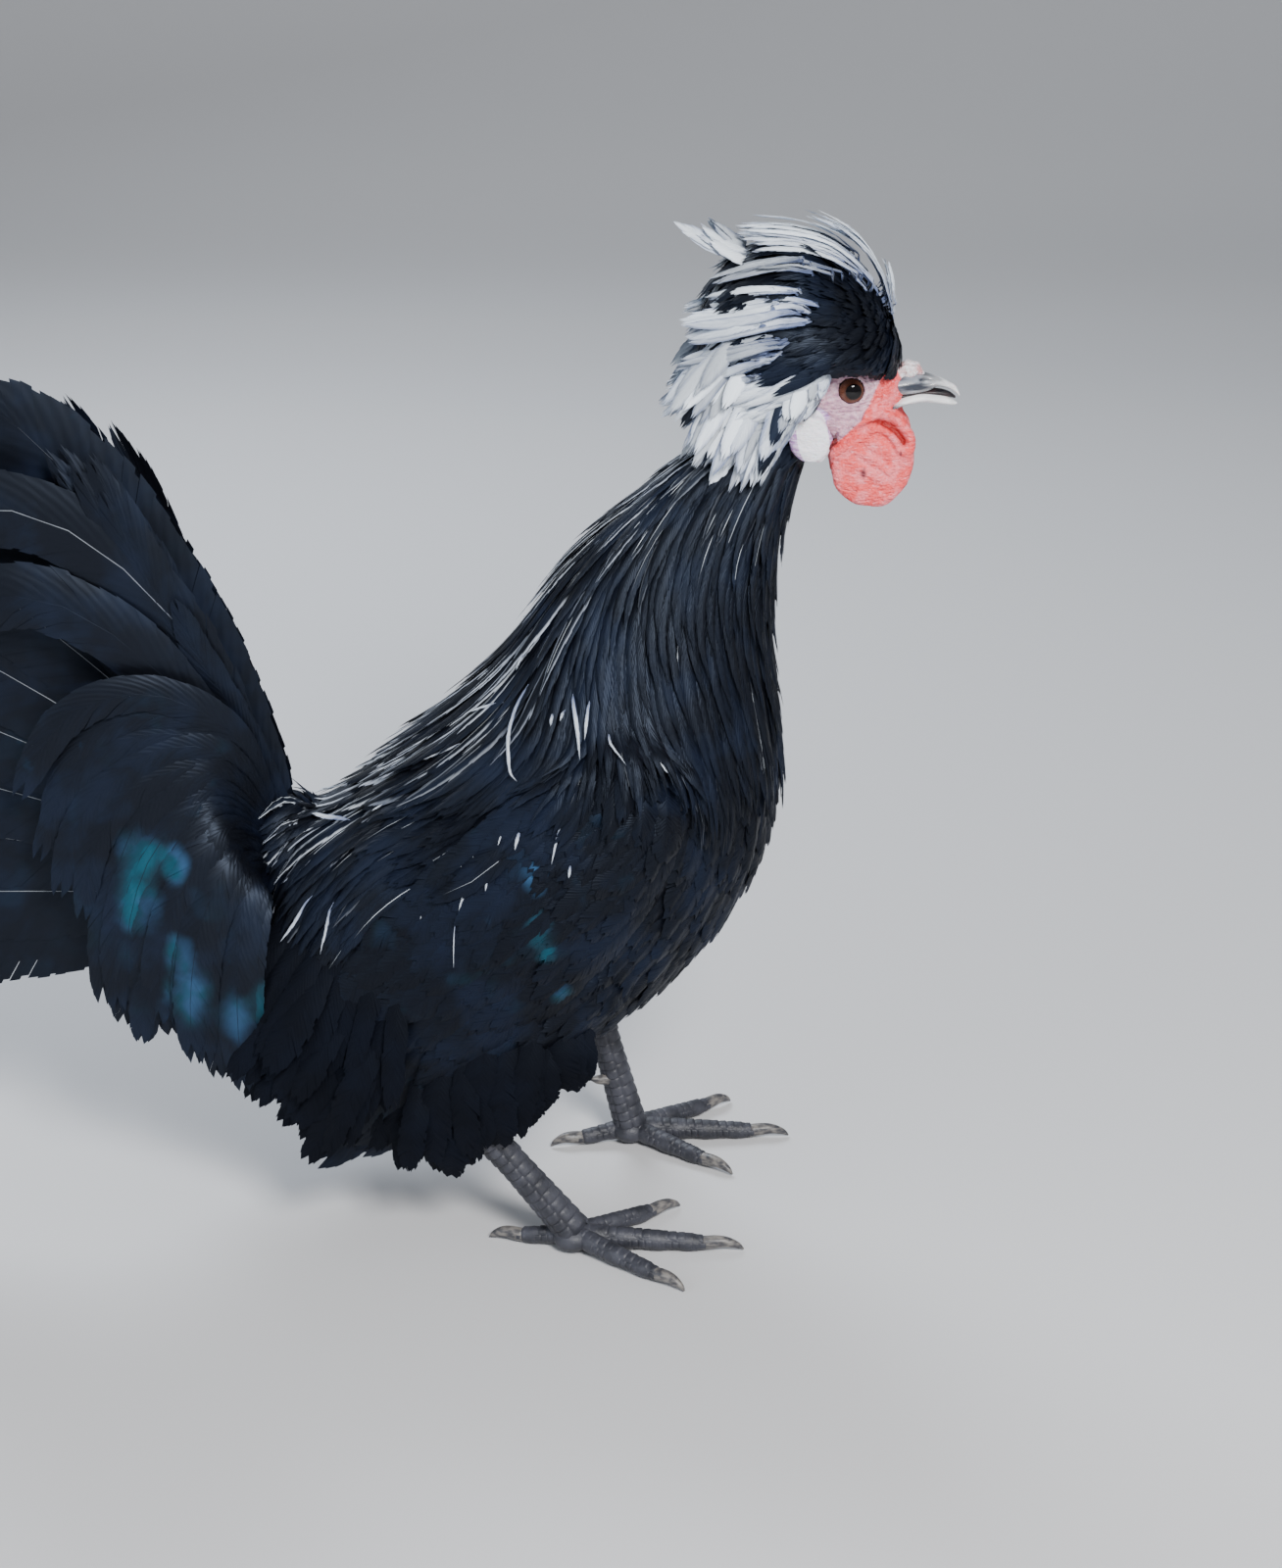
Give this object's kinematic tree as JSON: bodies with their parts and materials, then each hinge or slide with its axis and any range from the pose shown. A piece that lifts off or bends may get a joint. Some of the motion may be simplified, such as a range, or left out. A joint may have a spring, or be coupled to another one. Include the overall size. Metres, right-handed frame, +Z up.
{
  "type": "polish crested chicken",
  "caption": "Standing crested cockerel with a black and white crest, red wattles, bent glossy neck and saddle feathers, drooping wings and a raised, fanned tail.",
  "frame": {"origin": "on the floor, below the centre of the bounding box", "axes": "+X forwards from tail to beak, +Y to the bird's left, +Z up"},
  "size_m": [0.4786, 0.1658, 0.4326],
  "materials": {
    "body_plumage": null,
    "saddle_plumage": null,
    "face_skin": "bare skin, pale round the eye",
    "neck_plumage": "glossy black tapered feathers with pale shafts",
    "crest_plumage": "white feathers with a black front and band",
    "bill_horn": "pale horn, smooth",
    "comb_skin": "pale wrinkled skin",
    "tail_plumage": "black feathers, the coverts with a green sheen",
    "eye": "wet, orange-brown round a black pupil",
    "ear_lobe": "white skin",
    "red_skin": "red wrinkled skin",
    "wing_plumage": "glossy black feathers with a blue-green sheen",
    "thigh_plumage": "soft black feathers",
    "leg_scale": "slate scales",
    "claw_horn": "grey horn"
  },
  "bodies": {
    "root": {"torso": "body_plumage", "rump": "saddle_plumage", "head": "face_skin", "neck": "neck_plumage", "crest": "crest_plumage", "beak_upper": "bill_horn", "beak_lower": "bill_horn", "comb": "comb_skin", "tail": "tail_plumage", "eye_right": "eye", "earlobe_right": "ear_lobe", "wattle_right": "red_skin", "wing_right": "wing_plumage", "thigh_right": "thigh_plumage", "shank_right": "leg_scale", "spur_right": "claw_horn", "toe_hallux_right": "leg_scale", "claw_hallux_right": "claw_horn", "toe_inner_right": "leg_scale", "claw_inner_right": "claw_horn", "toe_middle_right": "leg_scale", "claw_middle_right": "claw_horn", "toe_outer_right": "leg_scale", "claw_outer_right": "claw_horn", "eye_left": "eye", "earlobe_left": "ear_lobe", "wattle_left": "red_skin", "wing_left": "wing_plumage", "thigh_left": "thigh_plumage", "shank_left": "leg_scale", "spur_left": "claw_horn", "toe_hallux_left": "leg_scale", "claw_hallux_left": "claw_horn", "toe_inner_left": "leg_scale", "claw_inner_left": "claw_horn", "toe_middle_left": "leg_scale", "claw_middle_left": "claw_horn", "toe_outer_left": "leg_scale", "claw_outer_left": "claw_horn"}
  },
  "joints": []
}
